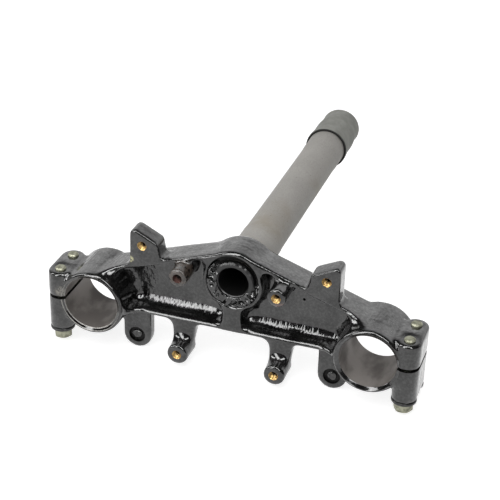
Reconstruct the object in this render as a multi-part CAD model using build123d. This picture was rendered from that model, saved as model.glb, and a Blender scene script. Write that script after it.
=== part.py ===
from build123d import *
from math import asin, atan2, cos, pi, radians, sin, tan
import os

# Lower triple clamp of a motorcycle with its steering stem, in millimetres.
# +X runs across the fork clamps, +Y up the steering axis, +Z to the rear of the motorcycle.
# The origin is on the steering axis, at the seat of the lower steering bearing.

# Fork clamps
fork_bore = 41.0
fork_spacing = 206.0
fork_offset = 32.5
clamp_height = 43.3
clamp_wall = 4.2
bore_chamfer = 0.8
clamp_rim_ease = 1.0
clamp_flare = 11.0
clamp_flare_bow = 0.36
clamp_skin = 1.05
slit_width = 2.6

# Pinch bolts, M8, along Z on the outer side of each clamp
bolt_size = 8.0
bolt_clearance = 0.5
bolt_pitch = 21.0
lug_foot_proud = 0.6
bolt_from_bore = 5.7
lug_wall = 5.0
bolt_head_across = 12.0
bolt_head_height = 7.2
bolt_end_proud = 1.8
bolt_tip_chamfer = 0.9
washer_outer = 18.0
washer_thickness = 1.9
clamp_lug_rear = 20.0
clamp_lug_front = 27.4
spot_face_size = 15.4
spot_face_depth = 0.5
lug_edge_ease = 1.4

# Body between the clamps
body_step = 13.4
hub_radius = 24.6
hub_sink = 0.6
hub_top_round = 3.0
flank_sink = 3.0
flank_blend = 25.0
front_blend = 6.0
front_reach = 40.5
body_draft = 4.0
body_top_round = 6.0
rim_width = 4.2
rear_rim = 3.4
pocket_depth = 13.5
pocket_draft = 3.0
pocket_floor_round = 6.5
pocket_corner = 4.5
web_width = 14.4
hub_ring = 22.0

# Steering stem and its seat in the hub
stem_outer = 31.5
stem_inner = 22.4
stem_above_seat = 250.3
stem_end_below = 1.2
stem_chamfer = 1.0
recess_radius = 19.3
recess_depth = 4.5
seat_radius = 19.0
seat_rise = 2.6
seat_edge = 0.8

# Cap over the upper end of the stem
cap_length = 48.9
cap_wall = 1.95
cap_end_wall = 2.2
cap_edge_round = 2.4

# Rear ears with a threaded hole each
ear_hole_x = 67.7
ear_hole_rear = 15.9
ear_hole_size = 6.0
ear_thickness = 15.5
ear_outer_from_hole = 9.5
ear_inner_from_hole = 11.5
ear_tip_from_hole = 13.6
ear_slope = 26.5
ear_inner_lean = 2.5
ear_foot = 9.0
ear_root_inside = 6.5
ear_root_skin = 1.4
ear_corner = 3.4
ear_inner_flare = 4.5
ear_outer_flare = 9.0
ear_edge_ease = 1.2

# Threaded bosses beside the stem
boss_x = 36.1
boss_rear = 3.0
boss_diameter = 13.8
boss_face = 0.7
boss_hole_size = 6.0
boss_hole_depth = 18.0
boss_edge_ease = 0.5
boss_foot = 1.2
boss_rib = 12.0

# Threaded front lugs
front_lug_x = 36.5
front_lug_reach = 61.0
front_lug_tip = 8.0
front_lug_face = 1.4
front_lug_thickness = 20.0
front_lug_hole_size = 6.0
front_lug_neck = 0.7
front_lug_scoop = 6.0
front_lug_root_width = 19.0
front_lug_root_height = 18.0
front_lug_flare = 8.0
lug_root_skin = 1.4
lug_root_depth = 2.7
lug_root_spread = 1.4

# Round front lugs with a blind recess
round_lug_x = 74.4
round_lug_reach = 62.8
round_lug_radius = 10.8
round_lug_face = 18.6
round_lug_thickness = 9.0
round_lug_recess = 12.6
round_lug_recess_depth = 1.8
round_lug_flare = 5.5

hole_chamfer = 0.5
overlap = 5.0
closeness = 0.01

# Places worked out from the sizes above, heights along Y
fork_x = fork_spacing / 2
fork_radius = fork_bore / 2
barrel_radius = fork_radius + clamp_wall
flank_radius = barrel_radius - flank_sink
wrap_radius = hub_radius - hub_sink
axes_apart = (fork_x ** 2 + fork_offset ** 2) ** 0.5
flank_angle = atan2(fork_offset, fork_x) + asin((wrap_radius - flank_radius) / axes_apart)
clamp_foot = -(clamp_height + seat_rise)
clamp_top = clamp_foot + clamp_height
underside = clamp_foot + body_step
body_height = clamp_top - underside
pocket_floor = underside + pocket_depth
bolt_radius = bolt_size / 2
bolt_x = fork_x + fork_radius + bolt_from_bore
lug_radius = bolt_radius + lug_wall
lower_bolt = clamp_foot - lug_foot_proud + lug_radius
bolt_heights = (lower_bolt, lower_bolt + bolt_pitch)
lug_rear_z = -fork_offset + clamp_lug_rear
lug_front_z = -fork_offset - clamp_lug_front
spot_face_z = lug_rear_z - spot_face_depth
stem_foot = underside + stem_end_below
stem_radius = stem_outer / 2
stem_head = stem_above_seat


def plan(height):
    """A sketch plane square to the stem: its x runs across the clamps and its y runs forward."""
    return Plane(origin=(0, height, 0), x_dir=(1, 0, 0), z_dir=(0, 1, 0))


def rod(x, forward, low, high, radius):
    """A round bar along the stem's direction."""
    return extrude(plan(low) * Pos(x, forward) * Rot(0, 0, 90) * Circle(radius), high - low)


def eased_rod(x, forward, low, high, radius, edge):
    """A round bar along the stem's direction whose lower rim is eased by a chamfer."""
    bar = rod(x, forward, low, high, radius)
    return chamfer(bar.edges().group_by(Axis.Y)[0], edge)


def body_outline():
    """Plan of the body: hub and clamps wrapped by straight flanks that flare into the clamps."""
    circles = [Circle(wrap_radius)]
    for side in (-1, 1):
        circles.append(Pos(side * fork_x, fork_offset) * Circle(flank_radius))
    wrapped = make_hull([circle.edge() for circle in circles])
    behind = 2 * hub_radius
    window = Pos(0, (front_reach - behind) / 2) * Rectangle(fork_spacing, front_reach + behind)
    outline = wrapped & window
    for side in (-1, 1):
        outline += Pos(side * fork_x, fork_offset) * Circle(barrel_radius - clamp_skin)
    inner = [v for v in outline.vertices() if hub_radius < abs(v.X) < fork_x]
    outline = fillet([v for v in inner if v.Y < fork_offset], flank_blend)
    inner = [v for v in outline.vertices() if abs(v.Y - front_reach) < closeness]
    return fillet(inner, front_blend)


def ear_outline(side):
    """Plan of a rear ear: an upright outer edge, a sloping tip and a foot that flares into the rear flank."""
    outer = ear_hole_x + ear_outer_from_hole
    inner = ear_hole_x - ear_inner_from_hole
    tip = ear_hole_rear + ear_tip_from_hole
    shoulder = tip - (outer - inner) * tan(radians(ear_slope))
    inner_foot = inner - ear_inner_lean
    ends = (outer + ear_foot, inner_foot - ear_foot)
    points = [
        (ends[0], ear_root_inside - rear_flank(ends[0])),
        (ends[0], ear_root_skin - rear_flank(ends[0])),
        (outer, ear_root_skin - rear_flank(outer)),
        (outer, -tip),
        (inner, -shoulder),
        (inner_foot, ear_root_skin - rear_flank(inner_foot)),
        (ends[1], ear_root_skin - rear_flank(ends[1])),
        (ends[1], ear_root_inside - rear_flank(ends[1])),
    ]
    outline = make_face(Polyline(*points, close=True))
    for corner, radius in ((2, ear_outer_flare), (3, ear_corner), (4, ear_corner), (5, ear_inner_flare)):
        x, forward = points[corner]
        outline = fillet(outline.vertices().sort_by_distance((x, forward))[0], radius)
    if side < 0:
        outline = mirror(outline, Plane.YZ)
    return outline


def rear_flank(x):
    """How far behind the steering axis the body's straight rear flank lies at x."""
    return (wrap_radius - x * sin(flank_angle)) / cos(flank_angle)


def body():
    block = extrude(plan(underside) * body_outline(), body_height, taper=body_draft)
    block = fillet(block.edges().group_by(Axis.Y)[-1], body_top_round)
    for side in (-1, 1):
        ear = extrude(plan(underside) * ear_outline(side), ear_thickness)
        block += chamfer(ear.edges().group_by(Axis.Y)[-1], ear_edge_ease)
    return block


def pocket_outline():
    """Plan of the right pocket, between the clamp, the hub ring, the web, the front wall and the rear rim."""
    inside = rear_rim / cos(flank_angle)
    outline = make_face(Polyline(
        (web_width / 2, front_reach - rim_width),
        (web_width / 2, inside - rear_flank(web_width / 2)),
        (fork_x, inside - rear_flank(fork_x)),
        (fork_x, front_reach - rim_width),
        close=True,
    ))
    outline -= Circle(hub_ring)
    outline -= Pos(fork_x, fork_offset) * Circle(barrel_radius)
    face = outline.faces().sort_by(SortBy.AREA)[-1]
    return fillet(face.vertices(), pocket_corner)


def pocket():
    tool = extrude(plan(underside) * pocket_outline(), pocket_depth, taper=pocket_draft)
    return fillet(tool.edges().group_by(Axis.Y)[-1], pocket_floor_round)


def hub():
    """The hub round the stem and the low seat of the bearing on top of it, turned about the steering axis."""
    profile = make_face(Polyline(
        (0, underside),
        (hub_radius, underside),
        (hub_radius, clamp_top),
        (seat_radius, clamp_top),
        (seat_radius, -seat_edge),
        (seat_radius - seat_edge, 0),
        (0, 0),
        close=True,
    ))
    profile = fillet(profile.vertices().sort_by_distance((hub_radius, clamp_top))[0], hub_top_round)
    return revolve(profile, Axis.Y)


def clamp(side):
    """A fork clamp before boring: its barrel, the bolt lug outside it and the web that joins them."""
    x = side * fork_x
    barrel = eased_rod(x, fork_offset, clamp_foot, clamp_top, barrel_radius, clamp_rim_ease)
    barrel = chamfer(barrel.edges().group_by(Axis.Y)[-1], clamp_rim_ease)
    middle = (bolt_heights[0] + bolt_heights[1]) / 2
    slot = Pos(side * bolt_x, middle) * Rot(0, 0, 90) * SlotCenterToCenter(bolt_pitch, 2 * lug_radius)
    lug = extrude(Plane.XY.offset(lug_front_z) * slot, lug_rear_z - lug_front_z)
    lug = chamfer(lug.edges().group_by(Axis.Z)[-1], lug_edge_ease)
    web_low = bolt_heights[0] - lug_radius + lug_wall
    web_high = bolt_heights[1] + lug_radius - lug_wall
    web = Box(bolt_x - fork_x, web_high - web_low, 2 * (clamp_lug_rear - spot_face_depth))
    web = Pos(side * (fork_x + bolt_x) / 2, (web_low + web_high) / 2, -fork_offset) * web
    return barrel + lug + web


def clamp_gusset(side):
    """The sweep of the body's walls down to the lower end of a clamp."""
    low = underside - clamp_flare
    near = clamp_flare_bow * clamp_flare
    sweep = Polyline(
        (barrel_radius + clamp_flare, underside),
        (fork_radius + clamp_wall / 2, underside),
        (fork_radius + clamp_wall / 2, low),
        (barrel_radius, low),
    )
    curve = ThreePointArc(
        (barrel_radius, low),
        (barrel_radius + near, underside - near),
        (barrel_radius + clamp_flare, underside),
    )
    ring = revolve(make_face([*sweep.edges(), curve]), Axis.Y)
    walls = body_outline() - pocket_outline() - mirror(pocket_outline(), Plane.YZ)
    return extrude(plan(low) * walls, clamp_flare) & Pos(side * fork_x, 0, -fork_offset) * ring


def fork_bore_cut(side):
    """The fork bore with a small chamfer at both ends."""
    past = bore_chamfer + overlap
    profile = make_face(Polyline(
        (0, clamp_foot - overlap),
        (fork_radius + past, clamp_foot - overlap),
        (fork_radius, clamp_foot + bore_chamfer),
        (fork_radius, clamp_top - bore_chamfer),
        (fork_radius + past, clamp_top + overlap),
        (0, clamp_top + overlap),
        close=True,
    ))
    return Pos(side * fork_x, 0, -fork_offset) * Rot(0, 90, 0) * revolve(profile, Axis.Y)


def slit_cut(side):
    """The saw cut that lets a clamp close on its fork tube."""
    reach = bolt_x + lug_radius + overlap - fork_x
    middle = Pos(side * (fork_x + reach / 2), (clamp_foot + clamp_top) / 2, -fork_offset)
    return middle * Box(reach, 2 * clamp_height, slit_width)


def bolt_hole(side, height):
    """A pinch bolt's hole: clear at the head's side of the slit, threaded behind it, with a spot face."""
    profile = make_face(Polyline(
        (0, lug_front_z - overlap),
        (bolt_radius + bolt_clearance / 2, lug_front_z - overlap),
        (bolt_radius + bolt_clearance / 2, -fork_offset),
        (bolt_radius, -fork_offset),
        (bolt_radius, spot_face_z),
        (spot_face_size / 2, spot_face_z),
        (spot_face_size / 2, lug_rear_z + overlap),
        (0, lug_rear_z + overlap),
        close=True,
    ))
    turned = revolve(Plane.XZ * profile, Axis.Z)
    return Pos(side * bolt_x, height, 0) * turned


def ear_hole(side):
    return threaded_hole(side * ear_hole_x, -ear_hole_rear, underside, ear_hole_size, ear_thickness + overlap)


def threaded_hole(x, forward, mouth, size, depth):
    """A hole at a thread's full diameter, opening downwards with a small chamfer."""
    hole = rod(x, forward, mouth, mouth + depth, size / 2)
    cone = Cone(size / 2 + hole_chamfer, size / 2, hole_chamfer)
    return hole + Pos(x, mouth + hole_chamfer / 2, -forward) * Rot(-90, 0, 0) * cone


def boss(side):
    """A threaded boss that stands on the pocket floor, with a rib back to the rear wall."""
    face = clamp_foot + boss_face
    radius = boss_diameter / 2
    profile = make_face(Polyline(
        (0, face),
        (radius - boss_edge_ease, face),
        (radius, face + boss_edge_ease),
        (radius, pocket_floor - boss_foot),
        (radius + boss_foot, pocket_floor),
        (radius + boss_foot, pocket_floor + boss_edge_ease),
        (0, pocket_floor + boss_edge_ease),
        close=True,
    ))
    turned = Pos(side * boss_x, 0, boss_rear) * revolve(profile, Axis.Y)
    inner = boss_x - boss_rib / 2
    outer = boss_x + boss_rib / 2
    rib = make_face(Polyline(
        (side * inner, -boss_rear),
        (side * inner, rear_rim / 2 - rear_flank(inner)),
        (side * outer, rear_rim / 2 - rear_flank(outer)),
        (side * outer, -boss_rear),
        close=True,
    ))
    return turned + extrude(plan(underside + boss_edge_ease) * rib, pocket_floor - underside)


def boss_hole(side):
    face = clamp_foot + boss_face
    return threaded_hole(side * boss_x, -boss_rear, face, boss_hole_size, boss_hole_depth)


def lug_outline(x, reach, radius, root_half, flare):
    """Plan of a front lug: a round end on a neck whose sides flare into the front wall."""
    root = front_reach - lug_root_depth
    skin = front_reach - lug_root_skin
    outline = make_hull([
        (Pos(x, reach) * Circle(radius)).edge(),
        Line((x - root_half, root), (x + root_half, root)),
    ])
    spread = root_half + lug_root_spread * flare
    outline += Pos(x, (root + skin) / 2) * Rectangle(2 * spread, skin - root)
    on_skin = [v for v in outline.vertices() if abs(v.Y - skin) < closeness]
    corners = [v for v in on_skin if abs(v.X - x) < spread - closeness]
    return fillet(corners, flare)


def front_lug(side):
    """A tongue off the front wall: its near side is scooped out round a boss at its end."""
    face = clamp_foot + front_lug_face
    back = underside + front_lug_root_height
    x = side * front_lug_x
    half = front_lug_root_width / 2
    outline = lug_outline(x, front_lug_reach, front_lug_tip - front_lug_neck, half, front_lug_flare)
    tongue = extrude(plan(face) * outline, back - face)
    scoop = make_face(Polyline(
        (front_lug_tip, face - overlap),
        (front_lug_reach, face - overlap),
        (front_lug_reach, underside),
        (front_lug_tip, underside),
        close=True,
    ))
    scoop = fillet(scoop.vertices().sort_by_distance((front_lug_tip, underside))[0], front_lug_scoop)
    tongue -= Pos(x, 0, -front_lug_reach) * revolve(scoop, Axis.Y)
    tongue += eased_rod(x, front_lug_reach, face, back, front_lug_tip, boss_edge_ease)
    tip = front_lug_reach + front_lug_tip
    root = front_reach - lug_root_depth
    under = make_face(Polyline(
        (face + front_lug_thickness, -tip - overlap),
        (face + front_lug_thickness, -front_lug_reach),
        (back, -root),
        (back + overlap, -root),
        (back + overlap, -tip - overlap),
        close=True,
    ))
    wide = half + 2 * front_lug_flare
    side_plane = Plane(origin=(x - wide, 0, 0), x_dir=(0, 1, 0), z_dir=(1, 0, 0))
    return tongue - extrude(side_plane * under, 2 * wide)


def front_lug_hole(side):
    face = clamp_foot + front_lug_face
    depth = front_lug_thickness + overlap
    return threaded_hole(side * front_lug_x, front_lug_reach, face, front_lug_hole_size, depth)


def round_lug(side):
    """A flat lug with a round end, in the corner between the front wall and the clamp."""
    face = clamp_foot + round_lug_face
    x = side * round_lug_x
    outline = lug_outline(x, round_lug_reach, round_lug_radius, round_lug_radius, round_lug_flare)
    return extrude(plan(face) * outline, round_lug_thickness)


def round_lug_recess_cut(side):
    face = clamp_foot + round_lug_face
    return rod(side * round_lug_x, round_lug_reach, face, face + round_lug_recess_depth, round_lug_recess / 2)


def lower_yoke():
    casting = body() + hub()
    casting -= pocket() + mirror(pocket(), Plane.YZ)
    for side in (-1, 1):
        casting += clamp(side) + clamp_gusset(side)
        casting += boss(side) + front_lug(side) + round_lug(side)
    casting -= rod(0, 0, underside, underside + recess_depth, recess_radius)
    casting -= rod(0, 0, underside, 0, stem_radius)
    for side in (-1, 1):
        casting -= fork_bore_cut(side)
        casting -= slit_cut(side)
        for height in bolt_heights:
            casting -= bolt_hole(side, height)
        casting -= ear_hole(side)
        casting -= boss_hole(side)
        casting -= front_lug_hole(side)
        casting -= round_lug_recess_cut(side)
    return casting


def steering_stem():
    tube = rod(0, 0, stem_foot, stem_head, stem_radius) - rod(0, 0, stem_foot, stem_head, stem_inner / 2)
    rims = tube.edges().filter_by(GeomType.CIRCLE).group_by(SortBy.RADIUS)[-1]
    return chamfer(rims, stem_chamfer)


def stem_end_cap():
    outer = stem_radius + cap_wall
    top = stem_head + cap_end_wall
    cup = rod(0, 0, top - cap_length, top, outer)
    cup = fillet(cup.edges().group_by(Axis.Y)[-1], cap_edge_round)
    return cup - rod(0, 0, top - cap_length, stem_head, stem_radius)


def pinch_bolt(side, height):
    """A hex bolt along Z: head at the front, plain end showing at the rear spot face."""
    seat = lug_front_z - washer_thickness
    end = spot_face_z + bolt_end_proud
    across = bolt_head_across / 2
    blank = extrude(Plane.XY.offset(seat) * RegularPolygon(across, 6, major_radius=False), -bolt_head_height)
    corner = across / cos(pi / 6)
    turned = Pos(0, 0, seat - bolt_head_height / 2) * Cylinder(corner, bolt_head_height)
    turned = chamfer(turned.edges().group_by(Axis.Z)[0], (corner - across) * tan(pi / 6), corner - across)
    shank = Pos(0, 0, (seat + end) / 2) * Cylinder(bolt_radius, end - seat)
    shank = chamfer(shank.edges().group_by(Axis.Z)[-1], bolt_tip_chamfer)
    return Pos(side * bolt_x, height, 0) * (shank + (blank & turned))


def washer(side, height):
    ring = Cylinder(washer_outer / 2, washer_thickness)
    ring -= Cylinder(bolt_radius + bolt_clearance / 2, washer_thickness)
    return Pos(side * bolt_x, height, lug_front_z - washer_thickness / 2) * ring


nodes = {
    "lower_yoke": lower_yoke(),
    "steering_stem": steering_stem(),
    "stem_end_cap": stem_end_cap(),
}
for side, side_name in ((-1, "left"), (1, "right")):
    for height, level in zip(bolt_heights, ("lower", "upper")):
        nodes["pinch_bolt_" + side_name + "_" + level] = pinch_bolt(side, height)
        nodes["washer_" + side_name + "_" + level] = washer(side, height)

os.makedirs("parts", exist_ok=True)
for name, shape in nodes.items():
    export_step(shape, "parts/" + name + ".step")
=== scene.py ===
# %% [markdown]
# A lower triple clamp joins the two fork tubes of a motorcycle to its steering stem. This lesson dresses
# the CAD solids of one: a painted casting, a bare steel stem under a vinyl cap, and four pinch bolts.
# The CAD model is opened first, because every size and place below is taken from it, and it is never moved.

import math

import bmesh
import bpy
from mathutils import Matrix, Vector, noise


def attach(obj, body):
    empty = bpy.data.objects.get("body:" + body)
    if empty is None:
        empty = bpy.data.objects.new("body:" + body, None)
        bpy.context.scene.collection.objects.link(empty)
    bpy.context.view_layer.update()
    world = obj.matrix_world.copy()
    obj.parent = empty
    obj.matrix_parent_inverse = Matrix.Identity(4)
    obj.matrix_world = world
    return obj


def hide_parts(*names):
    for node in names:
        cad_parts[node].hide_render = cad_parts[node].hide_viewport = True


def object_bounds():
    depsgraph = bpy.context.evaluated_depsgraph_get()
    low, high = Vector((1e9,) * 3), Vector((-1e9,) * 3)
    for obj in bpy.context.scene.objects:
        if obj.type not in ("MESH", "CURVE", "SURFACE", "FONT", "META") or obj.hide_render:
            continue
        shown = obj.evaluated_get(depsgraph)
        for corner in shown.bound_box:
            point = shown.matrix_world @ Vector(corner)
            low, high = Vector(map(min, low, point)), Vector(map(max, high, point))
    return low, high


mm = 0.001
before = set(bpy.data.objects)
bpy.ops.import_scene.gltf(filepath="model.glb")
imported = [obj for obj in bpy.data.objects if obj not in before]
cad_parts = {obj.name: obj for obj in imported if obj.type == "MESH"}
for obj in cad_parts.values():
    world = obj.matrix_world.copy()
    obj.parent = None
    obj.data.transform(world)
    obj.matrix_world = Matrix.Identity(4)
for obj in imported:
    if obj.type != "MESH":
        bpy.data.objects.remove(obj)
cad_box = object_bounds()


def in_mm(box):
    return [[round(number / mm, 1) for number in corner] for corner in box]


print("CAD box, mm:", in_mm(cad_box))

# %% [markdown]
# The camera stands below and behind the part, looking up the stem. A long lens keeps the two clamps almost
# the same size, as in a catalogue picture, and a small roll tilts the horizon by two degrees. Its turn could
# be typed as three angles. Here it follows from an eye and a target, which are easier to move.

# %% Place the camera
camera_target = Vector((16.6, -45.9, 37.7)) * mm
camera_eye = Vector((263.4, -814.8, 496.4)) * mm
camera_roll = math.radians(2.0)

camera_data = bpy.data.cameras.new("catalogue_camera")
camera_data.sensor_width = 36.0
camera_data.lens = 99.5
camera = bpy.data.objects.new("catalogue_camera", camera_data)
bpy.context.scene.collection.objects.link(camera)
look = (camera_target - camera_eye).to_track_quat("-Z", "Y").to_matrix().to_4x4()
camera.matrix_world = Matrix.Translation(camera_eye) @ look @ Matrix.Rotation(camera_roll, 4, "Z")
bpy.context.scene.camera = camera
bpy.context.scene.view_settings.view_transform = "Standard"
print("camera stands", round((camera_eye - camera_target).length, 3), "m away")

# %% [markdown]
# A machined place is one that a tool has cut: a bore, a saw cut or a threaded hole. Their sizes stand in
# one list, because the shape, the threads and the finishes below all ask for them.

# %% Sizes of the machined places
fork_x = 103.0 * mm
fork_z = -32.5 * mm
fork_radius = 20.5 * mm
clamp_foot = -45.9 * mm
clamp_top = -2.6 * mm
bore_chamfer = 2.4 * mm
bore_mouth = 1.6 * mm
rim_line = 0.5 * mm
bore_top_chamfer = 0.4 * mm
underside = -32.5 * mm

bolt_x = 129.2 * mm
bolt_heights = (-37.5 * mm, -16.5 * mm)
lug_radius = 9.0 * mm
lug_rear_z = -12.5 * mm
lug_front_z = -59.9 * mm
slit_width = 2.6 * mm

stem_radius = 15.75 * mm
stem_bore = 11.2 * mm
stem_foot = -31.3 * mm
stem_head = 250.3 * mm
recess_radius = 19.3 * mm
recess_depth = 4.5 * mm
groove_back = 2.4 * mm
groove_depth = 5.5 * mm
cap_outer = 17.7 * mm
cap_top = 252.5 * mm
cap_foot = 203.6 * mm

thread_radius = 3.0 * mm
threaded = {
    "ear": {"x": 67.7 * mm, "z": 15.9 * mm, "mouth": underside, "depth": 15.5 * mm, "through": True},
    "boss": {"x": 36.1 * mm, "z": 3.0 * mm, "mouth": -45.2 * mm, "depth": 18.0 * mm, "through": False},
    "front_lug": {"x": 36.5 * mm, "z": -61.0 * mm, "mouth": -44.5 * mm, "depth": 20.0 * mm, "through": True},
}
round_lug = {"x": 74.4 * mm, "z": -62.8 * mm, "mouth": -27.3 * mm, "radius": 6.3 * mm, "depth": 1.8 * mm}
hole_chamfer = 0.5 * mm
pit_place = Vector((49.1, -19.0, -9.4)) * mm
pit_radius = 1.1 * mm
pit_depth = 3.0 * mm
sides = {"left": -1, "right": 1}
print("threaded holes:", len(sides) * len(threaded))

# %% [markdown]
# Shader maths could be wired by hand, node by node, but it reads best as Python. A Value wraps one socket,
# and each operator adds the Math node that does the sum.

# %% A value for shader maths
class Value:
    """A socket that takes part in Python arithmetic."""

    def __init__(self, finish, socket):
        self.finish = finish
        self.socket = socket

    def math(self, operation, first, second):
        return self.finish.add("ShaderNodeMath", {"operation": operation}, {0: first, 1: second})

    def __add__(self, other):
        return self.math("ADD", self, other)

    def __sub__(self, other):
        return self.math("SUBTRACT", self, other)

    def __rsub__(self, other):
        return self.math("SUBTRACT", other, self)

    def __mul__(self, other):
        return self.math("MULTIPLY", self, other)

    __radd__ = __add__
    __rmul__ = __mul__


print("shader maths ready")

# %% [markdown]
# Materials and the world are both trees of nodes. A Graph is such a tree, and its add method makes any other
# node, settings first, so that no node is made in two ways.

# %% A tree of nodes
class Graph:
    """A node tree whose nodes are made by one method."""

    def __init__(self, tree):
        self.nodes = tree.nodes
        self.links = tree.links

    def add(self, kind, settings=None, inputs=None, output=0):
        node = self.nodes.new(kind)
        for name, setting in (settings or {}).items():
            setattr(node, name, setting)
        for name, value in (inputs or {}).items():
            self.feed(node.inputs[name], value)
        return Value(self, node.outputs[output])

    def feed(self, socket, value):
        if isinstance(value, Value):
            self.links.new(value.socket, socket)
        else:
            socket.default_value = value

    def between(self, value, low, high):
        """0 below low, 1 above high and smooth in between."""
        inputs = {"Value": value, "From Min": low, "From Max": high}
        return self.add("ShaderNodeMapRange", {"interpolation_type": "SMOOTHSTEP"}, inputs)

    def by_camera(self):
        """1 for rays that come straight from the camera."""
        return self.add("ShaderNodeLightPath", output="Is Camera Ray")

    def by_mirror(self):
        """1 for rays that a mirror or glass sends on."""
        mirror_ray = self.add("ShaderNodeLightPath", output="Is Glossy Ray")
        glass_ray = self.add("ShaderNodeLightPath", output="Is Transmission Ray")
        return self.between(mirror_ray + glass_ray, 0.0, 1.0)


print("node trees ready")

# %% [markdown]
# A Finish is one material. Every pattern in it is noise, or a distance, read on the object's own coordinates:
# an image would need a flat map of each piece, and these patterns sit still on the metal without one.

# %% A material
class Finish(Graph):
    """A material built round one Principled shader; constants go on the shader's own sockets."""

    def __init__(self, name, constants):
        self.material = bpy.data.materials.new(name)
        self.material.use_nodes = True
        super().__init__(self.material.node_tree)
        self.shader = self.nodes["Principled BSDF"]
        for socket, value in constants.items():
            self.shader.inputs[socket].default_value = value
        self.place = self.add("ShaderNodeTexCoord", output="Object")

    def set(self, socket, value):
        self.feed(self.shader.inputs[socket], value)

    def stretched(self, scale):
        return self.add("ShaderNodeMapping", None, {"Vector": self.place, "Scale": scale})

    def noise(self, size, detail=2.0, place=None):
        """Soft random patches about this size across, from 0 to 1."""
        inputs = {"Vector": place or self.place, "Scale": 1 / size, "Detail": detail}
        return self.add("ShaderNodeTexNoise", None, inputs)

    def mix(self, factor, first, second):
        """A colour that goes from first to second with the factor."""
        inputs = {"Factor": factor, 6: first, 7: second}
        return self.add("ShaderNodeMix", {"data_type": "RGBA"}, inputs, output=2)

    def axis(self, name):
        return self.add("ShaderNodeSeparateXYZ", None, {0: self.place}, output=name)

    def off_axis(self):
        """The distance from the steering axis."""
        flat = self.stretched((1.0, 0.0, 1.0))
        return self.add("ShaderNodeVectorMath", {"operation": "LENGTH"}, {0: flat}, output="Value")

    def near(self, spot, full, none):
        """1 within one distance of a spot, 0 beyond the other."""
        inputs = {0: self.place, 1: spot}
        away = self.add("ShaderNodeVectorMath", {"operation": "DISTANCE"}, inputs, output="Value")
        return 1 - self.between(away, full, none)

    def bump(self, height, distance):
        """Relief whose height of 0 to 1 stands for this distance in metres."""
        self.set("Normal", self.add("ShaderNodeBump", None, {"Height": height, "Distance": distance}))


def shade(red, green, blue):
    return (red, green, blue, 1.0)


print("materials ready")

# %% [markdown]
# The casting's paint is a thick gloss black, brushed or dipped over rough metal. It has the skin of an orange
# and slow waves from the sand mould, which run in streaks down the pockets and are drawn out along the back.
# The metal under it is roughest in the left pocket's corner. Gloss black shows mostly what it mirrors, so
# this relief does more for its look than any colour.

# %% Relief of the gloss black paint
rough_corner = Vector((-66.0, -20.0, -14.0)) * mm

paint = Finish("yoke_gloss_black", {"IOR": 1.58})
peel = paint.noise(1.8 * mm)
waves = paint.noise(5 * mm)
rough_cast = paint.near(rough_corner, full=6.0 * mm, none=22.0 * mm)
behind = paint.between(paint.axis("Z"), 4.0 * mm, 14.0 * mm)
in_pocket = paint.between(paint.axis("Y"), underside + 1.0 * mm, underside + 5.0 * mm) * (1 - behind)
streaks = paint.noise(2.0 * mm, 1.0, paint.stretched((1.0, 0.25, 0.25))) * in_pocket
drawn = paint.noise(4.5 * mm, 2.0, paint.stretched((0.05, 1.0, 1.0))) * behind
relief = peel * 0.25 + waves * (rough_cast * 3.5 + 0.35) + streaks * 1.1 + drawn * 1.2
paint.bump(relief, 0.25 * mm)
print("made the relief of", paint.material.name)

# %% [markdown]
# A thin film of dust dulls the paint in patches, and pale grit sits in it. Rust has bled out of the left boss
# and a little has run below the right one. The paint is chipped at the left ear's root and worn thin beside
# the left slit. Each mark is a soft ball round its spot, broken up by noise.

# %% Dust, rust and wear on the paint
rusty_boss = Vector((-36.1, -38.0, 3.0)) * mm
stained_boss = Vector((39.5, -44.0, -3.5)) * mm
chipped_ear = Vector((-76.9, -32.2, 3.8)) * mm
worn_clamp = Vector((-126.2, -46.0, -27.0)) * mm
deep_black = shade(0.003, 0.003, 0.003)
dusty_black = shade(0.014, 0.014, 0.0135)
grit_grey = shade(0.26, 0.255, 0.245)
rust_brown = shade(0.082, 0.058, 0.043)
bled_brown = shade(0.22, 0.13, 0.105)
worn_grey = shade(0.25, 0.232, 0.195)
chip_metal = shade(0.60, 0.58, 0.33)

film = paint.between(paint.noise(12 * mm, 6.0), 0.35, 0.7)
mottle = paint.between(paint.noise(1.9 * mm, 5.0), 0.40, 0.68)
grit = paint.between(paint.noise(0.9 * mm, 1.0), 0.74, 0.82)
rust_patches = paint.between(paint.noise(3 * mm, 4.0), 0.3, 0.6)
rust = paint.near(rusty_boss, full=8.0 * mm, none=12.0 * mm) * rust_patches
bled = paint.near(stained_boss, full=2.0 * mm, none=6.0 * mm) * rust_patches
chip = paint.near(chipped_ear, full=1.8 * mm, none=3.4 * mm) * paint.between(peel, 0.38, 0.52)
worn = paint.near(worn_clamp, full=1.5 * mm, none=5.5 * mm) * paint.between(peel, 0.30, 0.60)
coat = paint.mix(film * 0.6 + mottle * 0.4, deep_black, dusty_black)
coat = paint.mix(grit * 0.3, coat, grit_grey)
coat = paint.mix(rust * 0.75, coat, rust_brown)
coat = paint.mix(bled * 0.9, coat, bled_brown)
coat = paint.mix(worn, coat, worn_grey)
paint.set("Base Color", paint.mix(chip, coat, chip_metal))
paint.set("Roughness", paint.noise(4 * mm, 4.0) * 0.08 + film * 0.06 + grit * 0.3 + rust * 0.35 + 0.07)
paint.set("Coat Weight", mottle * 0.4 + film * 0.35)
print("made", paint.material.name)

# %% [markdown]
# Round the stem's foot and in the recesses of the round lugs this finish paints shade: a black a little
# darker than the paint, with little gloss and a rough, patchy skin, so that the recesses stay dark.

# %% Dull black as painted shade in the recesses
# A black darker than the paint: painted shade for the inside of the recesses.
recess_shade_black = shade(0.002, 0.002, 0.002)
crust_black = shade(0.012, 0.0115, 0.0105)

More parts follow.
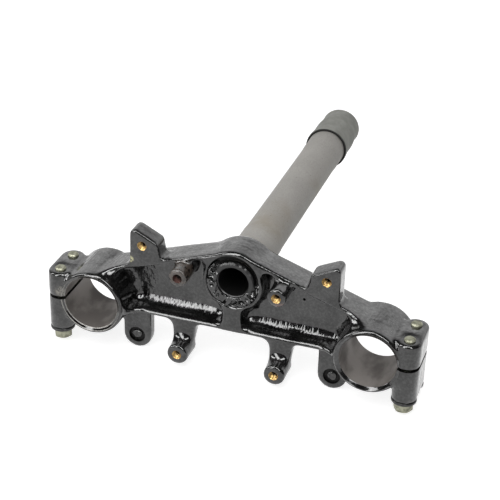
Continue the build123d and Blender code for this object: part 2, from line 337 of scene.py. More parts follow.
dull = Finish("recess_painted_shade_black", {"Specular IOR Level": 0.15})
crust = dull.between(dull.noise(1.6 * mm, 4.0), 0.4, 0.7)
dull.set("Base Color", dull.mix(crust, recess_shade_black, crust_black))
dull.set("Roughness", crust * 0.3 + 0.3)
dull.bump(crust, 0.12 * mm)
print("made", dull.material.name)

# %% [markdown]
# Where the casting was machined, bare metal shows. The fork bores are bored on a mill, so fine rings run
# round them, and years of a fork tube have left them brown-grey with streaks along them. Noise that is
# stretched along one axis gives both. The chamfer at a bore's lower end is painted over. On the left clamp
# its two edges are worn bare, which draws two thin lines.

# %% Bare bored metal
bore_grey = shade(0.225, 0.205, 0.190)
bore_brown = shade(0.118, 0.105, 0.096)
rim_dark = shade(0.06, 0.057, 0.053)
rim_bright = shade(0.40, 0.388, 0.365)

bored = Finish("bored_bare_metal", {"Metallic": 0.35})
rings = bored.noise(0.8 * mm, 2.0, bored.stretched((0.05, 1.0, 0.05)))
stain = bored.between(bored.noise(14 * mm, 5.0, bored.stretched((1.0, 0.5, 1.0))), 0.38, 0.66)
bored.set("Base Color", bored.mix(stain, bore_grey, bore_brown))
bored.set("Roughness", rings * 0.15 + stain * 0.12 + 0.42)
bored.bump(rings, 0.03 * mm)

rim = Finish("cut_rim_metal", {"Metallic": 0.6})
rim_wear = rim.noise(4 * mm, 3.0)
rim.set("Base Color", rim.mix(rim_wear, rim_dark, rim_bright))
rim.set("Roughness", rim_wear * 0.2 + 0.38)
print("made", bored.material.name, rim.material.name)

# %% [markdown]
# The threads were left in yellow passivated zinc, so they show golden at the mouths of the holes. Old grease
# makes them dull. Deeper in they turn black, which is painted shade for the dark inside a hole. The one in
# the left boss has rusted. One material serves all six, because each colour follows from the distance to a
# hole's mouth.

# %% Golden threads
gold_bright = shade(0.48, 0.33, 0.12)
gold_dull = shade(0.24, 0.145, 0.055)
thread_rust_brown = shade(0.030, 0.012, 0.009)
thread_depth_shade = shade(0.012, 0.010, 0.008)

gold = Finish("thread_gold", {"Metallic": 0.8})
gold_wear = gold.between(gold.noise(2.0 * mm, 3.0), 0.32, 0.68)
# Near a mouth the thread shows gold; away from every mouth it is painted shade, dark as deep in a hole.
open_end = 0.0
for side in sides.values():
    for hole in threaded.values():
        mouth = Vector((side * hole["x"], hole["mouth"], hole["z"]))
        open_end = open_end + gold.near(mouth, full=4.0 * mm, none=7.5 * mm)
thread_rust = gold.near(rusty_boss, full=10.0 * mm, none=14.0 * mm)
thread_tone = gold.mix(gold_wear, gold_bright, gold_dull)
thread_tone = gold.mix(thread_rust, thread_tone, thread_rust_brown)
gold.set("Base Color", gold.mix(open_end, thread_depth_shade, thread_tone))
gold.set("Roughness", gold_wear * 0.25 + 0.30)
print("made", gold.material.name)

# %% [markdown]
# The stem is a bare steel tube with a dull, warm grey skin: handling marks in cloudy patches, fine turning
# lines round it, scratches along it and dark specks. Its lower end was painted together with the casting, so
# there the steel gives way to black, and its inside is black all the way up as painted shade for a deep tube.
# One material does both, because the edge of the paint is a height and that of the shade a radius.

# %% Stem steel
painted_below = -26.0 * mm
painted_fade = 1.5 * mm
steel_dark = shade(0.215, 0.206, 0.190)
steel_pale = shade(0.500, 0.482, 0.454)
steel_brown = shade(0.27, 0.235, 0.175)
scratch_pale = shade(0.46, 0.45, 0.43)
speck_dark = shade(0.06, 0.052, 0.045)
foot_paint_and_bore_shade = shade(0.008, 0.008, 0.008)

steel = Finish("stem_dull_steel", {})
clouds = steel.noise(26 * mm, 6.0)
grain = steel.noise(1.2 * mm, 3.0)
tint = steel.between(steel.noise(45 * mm, 4.0), 0.48, 0.72)
turned = steel.noise(0.7 * mm, 2.0, steel.stretched((0.06, 1.0, 0.06)))
scratch = steel.between(steel.noise(1.3 * mm, 2.0, steel.stretched((1.0, 0.03, 1.0))), 0.66, 0.74)
specks = steel.between(steel.noise(1.6 * mm, 2.0), 0.70, 0.75)
# Inside the bore the tube is painted shade: black for the dark of a deep tube.
clear_of_bore_shade = steel.between(steel.off_axis(), stem_bore + 0.3 * mm, stem_bore + 1.0 * mm)
bare = clear_of_bore_shade * steel.between(steel.axis("Y"), painted_below - painted_fade, painted_below + painted_fade)
skin_tone = steel.mix(clouds * 0.5 + grain * 0.5, steel_dark, steel_pale)
skin_tone = steel.mix(tint * 0.6, skin_tone, steel_brown)
skin_tone = steel.mix(scratch * 0.35, skin_tone, scratch_pale)
skin_tone = steel.mix(specks * 0.6, skin_tone, speck_dark)
steel.set("Base Color", steel.mix(bare, foot_paint_and_bore_shade, skin_tone))
steel.set("Metallic", bare * 0.15)
steel.set("Roughness", bare * (clouds * 0.15 + turned * 0.1 + 0.15) + 0.35)
steel.bump(turned - scratch * 0.5 - specks, 0.02 * mm)
print("made", steel.material.name)

# %% [markdown]
# The cap is soft vinyl with a matte grey-green skin, paler where it has been rubbed and dusty. Its open end
# lies in its own shade, which is painted on as a dark band at that height to keep the rim's edge clear in any
# light.

# %% Cap vinyl
vinyl_green = shade(0.235, 0.238, 0.216)
vinyl_pale = shade(0.370, 0.371, 0.344)
dust_pale = shade(0.40, 0.40, 0.38)
painted_rim_shade = shade(0.012, 0.012, 0.011)

vinyl = Finish("cap_matte_vinyl", {"Specular IOR Level": 0.35})
rubbed = vinyl.between(vinyl.noise(16 * mm, 5.0), 0.35, 0.7)
dust = vinyl.between(vinyl.noise(1.2 * mm, 3.0), 0.62, 0.75)
pores = vinyl.noise(0.6 * mm, 2.0)
# The lowest millimetre of the cap is painted shade, for the shadow in its open end.
above_rim_shade = vinyl.between(vinyl.axis("Y"), cap_foot + 0.8 * mm, cap_foot + 1.4 * mm)
cap_tone = vinyl.mix(rubbed, vinyl_green, vinyl_pale)
cap_tone = vinyl.mix(dust * 0.3, cap_tone, dust_pale)
vinyl.set("Base Color", vinyl.mix(above_rim_shade, painted_rim_shade, cap_tone))
vinyl.set("Roughness", rubbed * 0.1 + 0.6)
vinyl.bump(pores + rubbed, 0.05 * mm)
print("made", vinyl.material.name)

# %% [markdown]
# The bolts carry yellow zinc with a green cast, cloudy from age. The washers under their heads are satin
# black with a few scuffs. Both are too small for more than one or two noises.

# %% Zinc and washer black
zinc_pale = shade(0.34, 0.342, 0.260)
zinc_aged = shade(0.15, 0.150, 0.108)
washer_black = shade(0.012, 0.012, 0.012)
scuff_grey = shade(0.06, 0.06, 0.057)

zinc = Finish("bolt_yellow_zinc", {"Metallic": 0.75})
aged = zinc.between(zinc.noise(3 * mm, 4.0), 0.35, 0.7)
fine_aged = zinc.noise(0.8 * mm, 3.0)
zinc.set("Base Color", zinc.mix(aged, zinc_pale, zinc_aged))
zinc.set("Roughness", aged * 0.15 + fine_aged * 0.15 + 0.38)
zinc.bump(fine_aged, 0.02 * mm)

black = Finish("washer_satin_black", {})
scuffs = black.between(black.noise(2.5 * mm, 4.0), 0.45, 0.75)
black.set("Base Color", black.mix(scuffs, washer_black, scuff_grey))
black.set("Roughness", scuffs * 0.2 + 0.3)
print("made", zinc.material.name, black.material.name)

# %% [markdown]
# Most shapes here start from a bar, a box or a turned profile. These helpers add one to a bmesh, so that
# several solids can share one mesh and be cut or filled in one go.

# %% Helpers that add a solid
along_y = Matrix.Rotation(math.radians(-90), 4, "X")
weld = 0.001 * mm


def merged_copy(node):
    """A bmesh of a CAD node whose loose triangles share their corners."""
    shape = bmesh.new()
    shape.from_mesh(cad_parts[node].data)
    bmesh.ops.remove_doubles(shape, verts=shape.verts, dist=weld)
    return shape


def slot_faces(faces, slot):
    for face in faces:
        face.material_index = slot


def add_bar(shape, centre, radius, length, axis="Y", segments=96, slot=0):
    """Adds a closed round bar along Y or Z to a bmesh."""
    turn = along_y if axis == "Y" else Matrix.Identity(4)
    made = bmesh.ops.create_cone(
        shape, cap_ends=True, segments=segments, radius1=radius, radius2=radius, depth=length,
        matrix=Matrix.Translation(centre) @ turn,
    )
    slot_faces({face for vert in made["verts"] for face in vert.link_faces}, slot)


def add_box(shape, centre, size):
    matrix = Matrix.Translation(centre) @ Matrix.Diagonal((*size, 1.0))
    bmesh.ops.create_cube(shape, size=1.0, matrix=matrix)


def add_turned(shape, profile, centre, segments=96):
    """Adds a closed turned solid about Y: profile holds (radius, height) pairs from axis to axis."""
    verts = [shape.verts.new((radius, height, 0)) for radius, height in profile]
    edges = [shape.edges.new(pair) for pair in zip(verts, verts[1:])]
    before = set(shape.faces)
    bmesh.ops.spin(
        shape, geom=verts + edges, cent=(0, 0, 0), axis=(0, 1, 0), angle=2 * math.pi,
        steps=segments, use_merge=True,
    )
    new_faces = [face for face in shape.faces if face not in before]
    new_verts = list({vert for face in new_faces for vert in face.verts})
    bmesh.ops.remove_doubles(shape, verts=new_verts, dist=weld)
    new_faces = [face for face in shape.faces if face not in before]
    bmesh.ops.recalc_face_normals(shape, faces=new_faces)
    new_verts = list({vert for face in new_faces for vert in face.verts})
    bmesh.ops.translate(shape, verts=new_verts, vec=centre)
    return new_faces


def add_ring(shape, profile, segments):
    """Adds a ring turned about Y: profile holds (radius, height) pairs of a closed loop."""
    verts = [shape.verts.new((radius, height, 0)) for radius, height in profile]
    edges = [shape.edges.new(pair) for pair in zip(verts, verts[1:] + verts[:1])]
    bmesh.ops.spin(
        shape, geom=verts + edges, cent=(0, 0, 0), axis=(0, 1, 0), angle=2 * math.pi,
        steps=segments, use_merge=True,
    )
    bmesh.ops.recalc_face_normals(shape, faces=shape.faces)


print("solids ready")

# %% [markdown]
# A bmesh becomes a piece of the scene at the origin, with its place in its mesh. Modifiers are baked as soon
# as they are made, so that the next step works on the finished shape.

# %% Helpers that make a piece
def piece(name, shape, materials):
    """Turns a bmesh into an object of the scene at the origin."""
    mesh = bpy.data.meshes.new(name)
    shape.to_mesh(mesh)
    shape.free()
    for material in materials:
        mesh.materials.append(material)
    thing = bpy.data.objects.new(name, mesh)
    bpy.context.scene.collection.objects.link(thing)
    return thing


def baked(thing):
    """Makes an object's modifiers part of its mesh."""
    depsgraph = bpy.context.evaluated_depsgraph_get()
    mesh = bpy.data.meshes.new_from_object(thing.evaluated_get(depsgraph))
    thing.modifiers.clear()
    thing.data = mesh
    return mesh


def finish_smooth(thing, degrees):
    """Smooth shading that breaks at edges sharper than this angle."""
    thing.data.shade_smooth()
    thing.data.set_sharp_from_angle(angle=math.radians(degrees))


print("pieces ready")

# %% [markdown]
# The CAD casting has crisp edges, and a sand casting has none. A bevel on hundreds of edges that meet in
# slivers would fail somewhere. So a copy is filled wherever a tool has cut it, turned into small voxels and
# smoothed, which rounds every edge and corner alike. The bores, holes and saw cuts are cut again later.

# %% Fill the machined places and pour the casting
voxel = 0.95 * mm
soften_steps = 14
plug_grip = 0.5 * mm
clamp_height = clamp_top - clamp_foot
clamp_middle = (clamp_foot + clamp_top) / 2
lug_middle = (lug_rear_z + lug_front_z) / 2
lug_length = lug_rear_z - lug_front_z - 2 * plug_grip
lug_span = bolt_heights[1] - bolt_heights[0]
bolts_middle = sum(bolt_heights) / 2

skin = merged_copy("lower_yoke")
for side in sides.values():
    centre = Vector((side * fork_x, clamp_middle, fork_z))
    add_bar(skin, centre, fork_radius + bore_chamfer + plug_grip, clamp_height)
    for height in bolt_heights:
        add_bar(skin, Vector((side * bolt_x, height, lug_middle)), lug_radius - plug_grip, lug_length, "Z")
    centre = Vector((side * bolt_x, bolts_middle, lug_middle))
    add_box(skin, centre, (2 * (lug_radius - plug_grip), lug_span, lug_length))
    centre = Vector((side * (fork_x + bolt_x) / 2, bolts_middle, fork_z))
    slit_height = lug_span + lug_radius - plug_grip
    add_box(skin, centre, (bolt_x - fork_x, slit_height, slit_width + 2 * plug_grip))
    for hole in threaded.values():
        centre = Vector((side * hole["x"], hole["mouth"] + hole["depth"] / 2, hole["z"]))
        add_bar(skin, centre, thread_radius + plug_grip, hole["depth"])
    centre = Vector((side * round_lug["x"], round_lug["mouth"] + round_lug["depth"] / 2, round_lug["z"]))
    add_bar(skin, centre, round_lug["radius"] + plug_grip, round_lug["depth"])
casting_finishes = (paint, bored, rim, gold, dull)
casting = piece("yoke_casting", skin, [finish.material for finish in casting_finishes])

remesh = casting.modifiers.new("pour", "REMESH")
remesh.mode = "VOXEL"
remesh.voxel_size = voxel
remesh.use_smooth_shade = True
soften = casting.modifiers.new("soften", "SMOOTH")
soften.factor = 0.5
soften.iterations = soften_steps
poured = baked(casting)
print("poured casting:", len(poured.polygons), "faces")

# %% [markdown]
# Behind the stem the hub flows into the flanks in one long curve, in the pockets the floor sweeps into the
# front wall, and the front lugs rise from a soft scoop. A vertex group holds the weight of such a place, so
# that a second, longer smoothing works there and leaves the rest alone. Each weight is a product of ramps,
# one for each direction.

# %% Weights of the hub, the pockets and the scoops
hub_fade = 10 * mm
hub_reach = 52 * mm
hub_front = 10 * mm
hub_below = -37 * mm
trough_fade = 5 * mm
trough_ends = (6 * mm, 72 * mm)
trough_front = -41 * mm
trough_rear = -16 * mm
trough_below = -33.5 * mm
scoop_fade = 4 * mm
scoop_sides = (24 * mm, 49 * mm)
scoop_front = -61 * mm
scoop_rear = -38 * mm
scoop_below = -44 * mm


def ramp(value, low, high):
    return max(0.0, min(1.0, (value - low) / (high - low)))


def past_start(value, start, fade):
    return ramp(value, start, start + fade)


def before_end(value, end, fade):
    return 1 - ramp(value, end - fade, end)


def at_hub(place):
    weight = before_end(abs(place.x), hub_reach, hub_fade)
    weight *= past_start(place.z, hub_front, hub_fade)
    return weight * past_start(place.y, hub_below, hub_fade)


def at_trough(place):
    weight = past_start(abs(place.x), trough_ends[0], trough_fade)
    weight *= before_end(abs(place.x), trough_ends[1], trough_fade)
    weight *= past_start(place.z, trough_front, trough_fade)
    weight *= before_end(place.z, trough_rear, trough_fade)
    return weight * past_start(place.y, trough_below, trough_fade)


def at_scoop(place):
    weight = past_start(abs(place.x), scoop_sides[0], scoop_fade)
    weight *= before_end(abs(place.x), scoop_sides[1], scoop_fade)
    weight *= past_start(place.z, scoop_front, scoop_fade)
    weight *= before_end(place.z, scoop_rear, scoop_fade)
    return weight * past_start(place.y, scoop_below, scoop_fade)


print("weights ready for the hub, two pockets and two scoops")

# %% [markdown]
# More steps of smoothing carry a curve further. The pockets need the most, because their floor and wall
# meet in a corner, and the hub the fewest.

# %% Let the hub, the pockets and the scoops flow
hub_steps = 60
trough_steps = 220
scoop_steps = 80


def let_flow(name, weigh, steps):
    """Smooths the casting once more, where weigh gives a place some weight."""
    group = casting.vertex_groups.new(name=name)
    for vert in casting.data.vertices:
        weight = weigh(vert.co)
        if weight > 0:
            group.add([vert.index], weight, "REPLACE")
    flow = casting.modifiers.new(name, "SMOOTH")
    flow.factor = 0.5
    flow.iterations = steps
    flow.vertex_group = group.name
    baked(casting)
    print(name, "smoothed", steps, "times")


let_flow("hub_flow", at_hub, hub_steps)
let_flow("trough_flow", at_trough, trough_steps)
let_flow("scoop_flow", at_scoop, scoop_steps)

# %% [markdown]
# The bores, the threaded holes, the recesses and a cast pit are round, so each cutter is a bar or a turned
# solid. The faces that a cutter leaves take its own material slot, which is how a bore gets bare metal in a
# painted casting. The exact solver keeps such cuts crisp.

# %% Cut the round places again
paint_slot, bore_slot, rim_slot, gold_slot, dull_slot = range(len(casting_finishes))
past = 4 * mm


def cut(cutter, name):
    """Takes a cutter out of the casting."""
    tool = piece(name, cutter, list(casting.data.materials))
    boolean = casting.modifiers.new(name, "BOOLEAN")
    boolean.operation = "DIFFERENCE"
    boolean.solver = "EXACT"
    boolean.object = tool
    mesh = baked(casting)
    bpy.data.objects.remove(tool)
    print(name, "leaves", len(mesh.polygons), "faces")


def bore_face_slot(face, side):
    """Bare metal in the bore, worn lines beside the left chamfer, paint on the rest."""
    height = face.calc_center_median().y - clamp_foot
    if bore_mouth < height < clamp_height - bore_top_chamfer:
        return bore_slot
    on_chamfer = rim_line < height < bore_mouth - rim_line
    return rim_slot if side < 0 and not on_chamfer else paint_slot


round_cuts = bmesh.new()
for side in sides.values():
    bore = add_turned(round_cuts, [
        (0, -past),
        (fork_radius + bore_chamfer + past, -past),
        (fork_radius + bore_chamfer - rim_line, rim_line),
        (fork_radius + rim_line, bore_mouth - rim_line),
        (fork_radius, bore_mouth),
        (fork_radius, clamp_height - bore_top_chamfer),
        (fork_radius + bore_top_chamfer + past, clamp_height + past),
        (0, clamp_height + past),
    ], Vector((side * fork_x, clamp_foot, fork_z)), segments=128)
    for face in bore:
        face.material_index = bore_face_slot(face, side)
    for hole in threaded.values():
        depth = hole["depth"] + (past if hole["through"] else 0)
        drilled = add_turned(round_cuts, [
            (0, -past),
            (thread_radius + hole_chamfer + past, -past),
            (thread_radius, hole_chamfer),
            (thread_radius, depth),
            (0, depth),
        ], Vector((side * hole["x"], hole["mouth"], hole["z"])), segments=48)
        slot_faces(drilled, gold_slot)
    recess_middle = round_lug["mouth"] + (round_lug["depth"] - past) / 2
    centre = Vector((side * round_lug["x"], recess_middle, round_lug["z"]))
    add_bar(round_cuts, centre, round_lug["radius"], round_lug["depth"] + past, segments=64, slot=dull_slot)
add_bar(round_cuts, pit_place, pit_radius, 2 * pit_depth, segments=24)
centre = Vector((0, underside + (recess_depth - past) / 2, 0))
add_bar(round_cuts, centre, recess_radius, recess_depth + past, segments=128, slot=dull_slot)
cut(round_cuts, "round_cuts")

# %% [markdown]
# A saw has slit each clamp, so that the bolts can close it, and a groove widens the hub's recess behind the
# stem. They cross the round cuts, and a cutter should hold only separate solids, so they are cut afterwards.

# %% Cut the slits and the groove
slit_reach = bolt_x + lug_radius + past - fork_x

slits = bmesh.new()
for side in sides.values():
    centre = Vector((side * (fork_x + slit_reach / 2), clamp_middle, fork_z))
    add_box(slits, centre, (slit_reach, clamp_height + 2 * past, slit_width))
centre = Vector((0, underside + (groove_depth - past) / 2, groove_back))
add_bar(slits, centre, recess_radius, groove_depth + past, segments=128, slot=dull_slot)
cut(slits, "slits")

finish_smooth(casting, degrees=38)
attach(casting, "root")
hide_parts("lower_yoke")

# %% [markdown]
# A thread is one tooth carried round a helix. The tooth is a small triangle, and the spin operator climbs a
# little at each step, so a few lines make all six threads. Each tooth roots just inside the hole's wall.

# %% Threads in the six holes
pitch = 1.0 * mm
tooth = 0.5 * mm
tooth_width = 0.9 * pitch
thread_root = thread_radius + 0.1 * mm
thread_steps = 28

threads = bmesh.new()
for side in sides.values():
    for hole in threaded.values():
        centre = Vector((side * hole["x"], hole["mouth"] + hole_chamfer, hole["z"]))
        turns = int((hole["depth"] - 2 * hole_chamfer) / pitch) - 1
        corners = ((thread_root, 0), (thread_radius - tooth, pitch / 2), (thread_root, tooth_width))
        verts = [threads.verts.new(centre + Vector((radius, height, 0))) for radius, height in corners]
        edges = [threads.edges.new(pair) for pair in zip(verts, verts[1:] + verts[:1])]
        threads.faces.new(verts)
        made = bmesh.ops.spin(
            threads, geom=verts + edges, cent=centre, axis=(0, 1, 0), dvec=(0, pitch / thread_steps, 0),
            angle=2 * math.pi * turns, steps=turns * thread_steps,
        )
        last = [item for item in made["geom_last"] if isinstance(item, bmesh.types.BMVert)]
        threads.faces.new(last)
bmesh.ops.recalc_face_normals(threads, faces=threads.faces)
thread_set = piece("hole_threads", threads, [gold.material])
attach(thread_set, "root")
print("threads:", len(thread_set.data.polygons), "faces")

# %% [markdown]
# The stem is pressed into the hub and staked there. The metal that the tool pushed up forms a flat ring round
# the tube, split by dark cracks at the front and sunk out of sight behind. It is a ring with a rounded square
# for its section, and noise pushes the cracks into it, because no two of them are alike.

# %% Stake bead
bead_radius = 15.5 * mm
bead_width = 3.8 * mm
bead_rise = 1.2 * mm
bead_height = -31.2 * mm
bead_sink = 7.5 * mm
bead_sides = 40
bead_segments = 240
deepest_side = Vector((-0.45, 0, -0.9)).normalized()
staked_range = (-0.6, 0.1)
crack_size = 2.6 * mm
crack_depth = 2.6 * mm
crack_range = (0.1, 0.4)
fine_ratio = 2.3


def squared(value):
    """Pushes a sine or cosine outwards, so that a circle turns into a rounded square."""
    return math.copysign(math.sqrt(abs(value)), value)


section = []
for step in range(bead_sides):
    turn = 2 * math.pi * step / bead_sides
    radius = bead_radius + bead_width * squared(math.cos(turn))
    section.append((radius, bead_height + bead_rise * squared(math.sin(turn))))
bead = bmesh.new()
add_ring(bead, section, bead_segments)
for vert in bead.verts:
    away = Vector((vert.co.x, 0, vert.co.z))
    staked = ramp(away.normalized().dot(deepest_side), *staked_range)
    rough = noise.noise(vert.co / crack_size) + 0.5 * noise.noise(fine_ratio * vert.co / crack_size)
    crack = ramp(rough, *crack_range)
    vert.co.y += crack_depth * crack * staked + bead_sink * (1 - staked)
bead_piece = piece("stake_bead", bead, [paint.material])
finish_smooth(bead_piece, degrees=60)
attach(bead_piece, "root")
print("bead:", len(bead_piece.data.polygons), "faces")

# %% [markdown]
# Each round lug's recess still holds the stub of a casting gate: a low, lumpy disc with a ditch round it. A
# turned disc with a few rings gives noise enough vertices to make its top lumpy and its edge uneven. The
# vector noise starts from a seed, which is set here so that each run gives the same stubs.

# %% Gate stubs in the round lugs
stub_radius = 3.7 * mm
stub_height = 1.2 * mm
stub_shoulder = 0.7 * stub_height
stub_rings = 8
stub_lump = 0.5 * mm
stub_lump_size = 1.6 * mm
stub_lean = 1.0 * mm
stub_lean_size = 6 * mm
stub_seed = 3
level = Vector((1, 0, 1))

stubs = bmesh.new()
for side in sides.values():
    floor_y = round_lug["mouth"] + round_lug["depth"]
    profile = [(stub_radius * ring / stub_rings, -stub_height) for ring in range(stub_rings)]
    profile += [(stub_radius, -stub_shoulder), (stub_radius, plug_grip), (0, plug_grip)]
    centre = Vector((side * round_lug["x"], floor_y, round_lug["z"]))
    add_turned(stubs, profile, centre, segments=48)
noise.seed_set(stub_seed)
for vert in stubs.verts:
    vert.co.y += stub_lump * noise.noise(vert.co / stub_lump_size)
    vert.co += stub_lean * noise.noise_vector(vert.co / stub_lean_size) * level
stub_piece = piece("gate_stubs", stubs, [paint.material])
finish_smooth(stub_piece, degrees=60)
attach(stub_piece, "root")
print("stubs:", len(stub_piece.data.polygons), "faces")

# %% [markdown]
# The tube and its cap are turned shapes: a profile spun about the steering axis. The tube is turned down a
# little between its two seats, and the staking tool has dented the edge of its foot. Its side is a list of
# stations, each a height and a radius, with a smooth step from one to the next, because a turner would give
# the shape in the same few numbers.

# %% Stem tube
stem_chamfer = 1.0 * mm
edge_ease = 0.3 * mm
mouth_step = 0.6 * mm
ring_gap = 2 * mm
staked_below = -29.5 * mm
foot_dent = 0.9 * mm
foot_dent_size = 2.2 * mm
foot_dent_range = (0.0, 0.5)
tube_stations = [
    (-29.0, 15.75), (34.0, 15.75), (38.0, 15.40), (74.0, 15.30), (110.0, 15.20), (176.0, 15.20),
    (188.0, 15.55), (206.0, 15.60), (214.0, 15.00), (248.0, 15.00),
]


def side_profile(stations):
    """Points along a side, a ring gap apart, with a smooth step between the stations."""
    points = []
    for (low, first), (high, second) in zip(stations, stations[1:]):
        steps = max(1, round((high - low) * mm / ring_gap))
        for step in range(steps):
            share = step / steps
            blend = share * share * (3 - 2 * share)
            points.append(((first + (second - first) * blend) * mm, (low + (high - low) * share) * mm))
    last_height, last_radius = stations[-1]
    return points + [(last_radius * mm, last_height * mm)]


tube_side = side_profile(tube_stations)
tube_top = tube_side[-1][0]
tube = bmesh.new()
add_ring(tube, [
    (stem_bore + mouth_step, stem_foot + mouth_step),
    (stem_bore + 2 * mouth_step, stem_foot + mouth_step),
    (stem_bore + 2 * mouth_step, stem_foot),
    (stem_radius - stem_chamfer - edge_ease, stem_foot),
    (stem_radius - stem_chamfer, stem_foot + edge_ease / 3),
    (stem_radius - edge_ease / 3, stem_foot + stem_chamfer),
    *tube_side,
    (tube_top - stem_chamfer, stem_head),
    (stem_bore, stem_head),
    (stem_bore, stem_foot + 2 * mouth_step),
], segments=160)
for vert in tube.verts:
    away = Vector((vert.co.x, 0, vert.co.z))
    if vert.co.y < staked_below and away.length > stem_radius - 2 * stem_chamfer:
        dent = ramp(noise.noise(vert.co / foot_dent_size), *foot_dent_range)
        vert.co -= away.normalized() * foot_dent * dent
tube_piece = piece("stem_tube", tube, [steel.material])
finish_smooth(tube_piece, degrees=25)
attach(tube_piece, "root")
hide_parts("steering_stem")
print("stem tube:", len(tube_piece.data.polygons), "faces")

# %% [markdown]
# The cap is a soft sleeve stretched over the tube: its open rim stands out, it hugs the tube below and above
# a low bulge, and its closed end has a round edge. It is turned from stations as the tube is. Slow noise
# then dents every ring of it, which a cloth simulation would also give, at a far greater cost.

# %% Cap sleeve
rim_roll = 0.9 * mm
cap_lip = 10 * mm
cap_sag = 0.35 * mm
dent_size = 9 * mm
corner_steps = 8
cap_stations = [
    (204.6, 17.70), (208.0, 17.65), (218.0, 16.85), (230.0, 17.15), (242.0, 16.15), (250.1, 16.30),
]

cap_side = side_profile(cap_stations)
corner_radius, corner_height = cap_side[-1]
cap_edge = cap_top - corner_height
cap_inner = tube_top + edge_ease
profile = [
    (0, stem_head),
    (cap_inner, stem_head),
    (cap_inner, cap_foot + cap_lip),
    (stem_radius, cap_foot + rim_roll / 2),
    (stem_radius + rim_roll / 2, cap_foot),
    (cap_outer - rim_roll / 2, cap_foot),
    *cap_side,
]
for step in range(1, corner_steps + 1):
    turn = math.pi / 2 * step / corner_steps
    radius = corner_radius - cap_edge * (1 - math.cos(turn))
    profile.append((radius, corner_height + cap_edge * math.sin(turn)))
profile.append((0, cap_top))
cap = bmesh.new()
add_turned(cap, profile, Vector((0, 0, 0)), segments=128)
for vert in cap.verts:
    away = Vector((vert.co.x, 0, vert.co.z))
    if away.length > cap_inner + edge_ease and cap_foot + rim_roll < vert.co.y <= corner_height:
        dent = 0.5 + 0.5 * noise.noise(vert.co / dent_size)
        vert.co -= away.normalized() * cap_sag * dent
cap_piece = piece("cap_sleeve", cap, [vinyl.material])
finish_smooth(cap_piece, degrees=50)
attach(cap_piece, "root")
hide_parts("stem_end_cap")
print("cap sleeve:", len(cap_piece.data.polygons), "faces")

# %% [markdown]
# Bolts and washers keep their CAD shape. Real ones have no sharp edge, so a bevel modifier rounds each edge
# by a few tenths of a millimetre. The flat faces are joined first, so that no bevel runs across them.

# %% Bolts and washers
fastener_ease = 0.35 * mm
flat_angle = math.radians(1)
edge_angle = math.radians(28)

for node in [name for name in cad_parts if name.startswith(("pinch_bolt", "washer"))]:
    finish = zinc if node.startswith("pinch_bolt") else black
    shape = merged_copy(node)
    bmesh.ops.dissolve_limit(shape, angle_limit=flat_angle, verts=shape.verts, edges=shape.edges)
    fastener = piece(node + "_eased", shape, [finish.material])
    ease = fastener.modifiers.new("ease", "BEVEL")
    ease.width = fastener_ease
    ease.segments = 3
    ease.limit_method = "ANGLE"
    ease.angle_limit = edge_angle
    baked(fastener)
    finish_smooth(fastener, degrees=40)
    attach(fastener, "root")
    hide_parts(node)
print("eased fasteners, each with a", round(fastener_ease / mm, 2), "mm edge")

# %% [markdown]
# The floor is white paper. Brighter lamps would make it white and wash out the part. Instead, rays of the
# camera and of mirrors see part of it as plain white, and it still takes the part's shadow.

# %% Floor
floor_gap = 0.2 * mm
floor_height = cad_box[0][2] - floor_gap
floor_white = 0.8
floor_reach = 30.0
paper_grey = shade(0.6, 0.6, 0.6)
white = shade(1.0, 1.0, 1.0)

ground = bmesh.new()
bmesh.ops.create_grid(ground, x_segments=1, y_segments=1, size=floor_reach)
bmesh.ops.translate(ground, verts=ground.verts, vec=(0, 0, floor_height))
paper = {"Base Color": paper_grey, "Specular IOR Level": 0.0, "Emission Color": white}
floor_finish = Finish("studio_floor", paper)
on_paper = floor_finish.by_camera() + floor_finish.by_mirror()
floor_finish.set("Emission Strength", on_paper * floor_white)
floor = piece("studio_floor", ground, [floor_finish.material])
print("floor at", round(floor_height / mm, 1), "mm")

# %% [markdown]
# Gloss paint shows the room more than itself. Mirrors see a room that is dark behind the camera, with a long
# low window at the back. The camera sees plain white, and an even fill lights the surfaces.

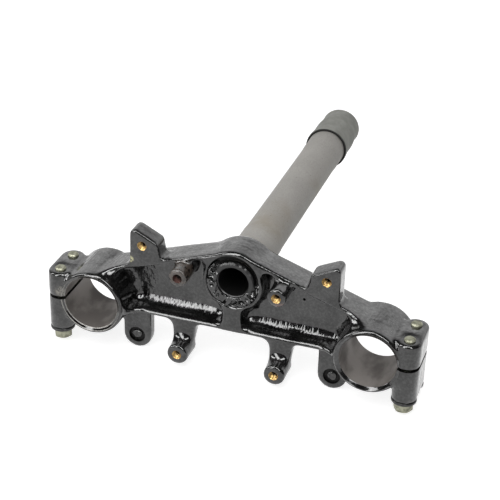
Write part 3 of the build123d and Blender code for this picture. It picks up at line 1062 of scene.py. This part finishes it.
# %% Room
fill = 0.31
room_dark = 0.06
window_glow = 0.9
window_top_glow = 0.5

world = bpy.data.worlds.new("studio")
bpy.context.scene.world = world
world.use_nodes = True
sky = Graph(world.node_tree)
background = sky.nodes["Background"]
heading = sky.add("ShaderNodeTexCoord", output="Generated")
rearward = sky.add("ShaderNodeSeparateXYZ", None, {0: heading}, output="Y")
upward = sky.add("ShaderNodeSeparateXYZ", None, {0: heading}, output="Z")
sky.feed(background.inputs["Color"], white)
window = sky.between(rearward, 0.1, 0.7) * (1 - sky.between(upward, 0.48, 0.82))
room = window * (sky.between(upward, 0.15, 0.42) * window_top_glow + window_glow) + room_dark
lit = fill + sky.by_mirror() * (room - fill)
sky.feed(background.inputs["Strength"], lit + sky.by_camera() * (1 - lit))
print("room ready, fill", fill)

# %% [markdown]
# A soft key lamp lights the surfaces, and three strip panels above show only in the gloss, where they draw
# the long highlights. With the two kept apart, a highlight can be moved without a change of the light level.

# %% Lamps
stage_middle = Vector((0, -0.03, -0.02))


def soft_box(name, towards, distance, size, power, mirrored):
    """A lamp panel that either shows in mirrors or lights surfaces."""
    lamp = bpy.data.lights.new(name, "AREA")
    lamp.shape = "RECTANGLE"
    lamp.size = size[0]
    lamp.size_y = size[1]
    lamp.energy = power
    thing = bpy.data.objects.new(name, lamp)
    bpy.context.scene.collection.objects.link(thing)
    thing.location = stage_middle + distance * towards.normalized()
    thing.rotation_euler = (-towards).to_track_quat("-Z", "Y").to_euler()
    thing.visible_glossy = mirrored
    thing.visible_diffuse = not mirrored
    print(name, power, "W")


soft_box("key", Vector((-0.10, -0.50, 0.80)), 1.6, (1.6, 1.6), power=19.0, mirrored=False)
soft_box("middle_strip", Vector((-0.27, -0.58, 0.77)), 1.2, (0.34, 2.7), power=28.0, mirrored=True)
soft_box("left_strip", Vector((-0.79, -0.31, 0.53)), 1.2, (0.30, 1.0), power=10.0, mirrored=True)
soft_box("right_strip", Vector((0.40, -0.55, 0.73)), 1.2, (0.30, 1.1), power=11.0, mirrored=True)
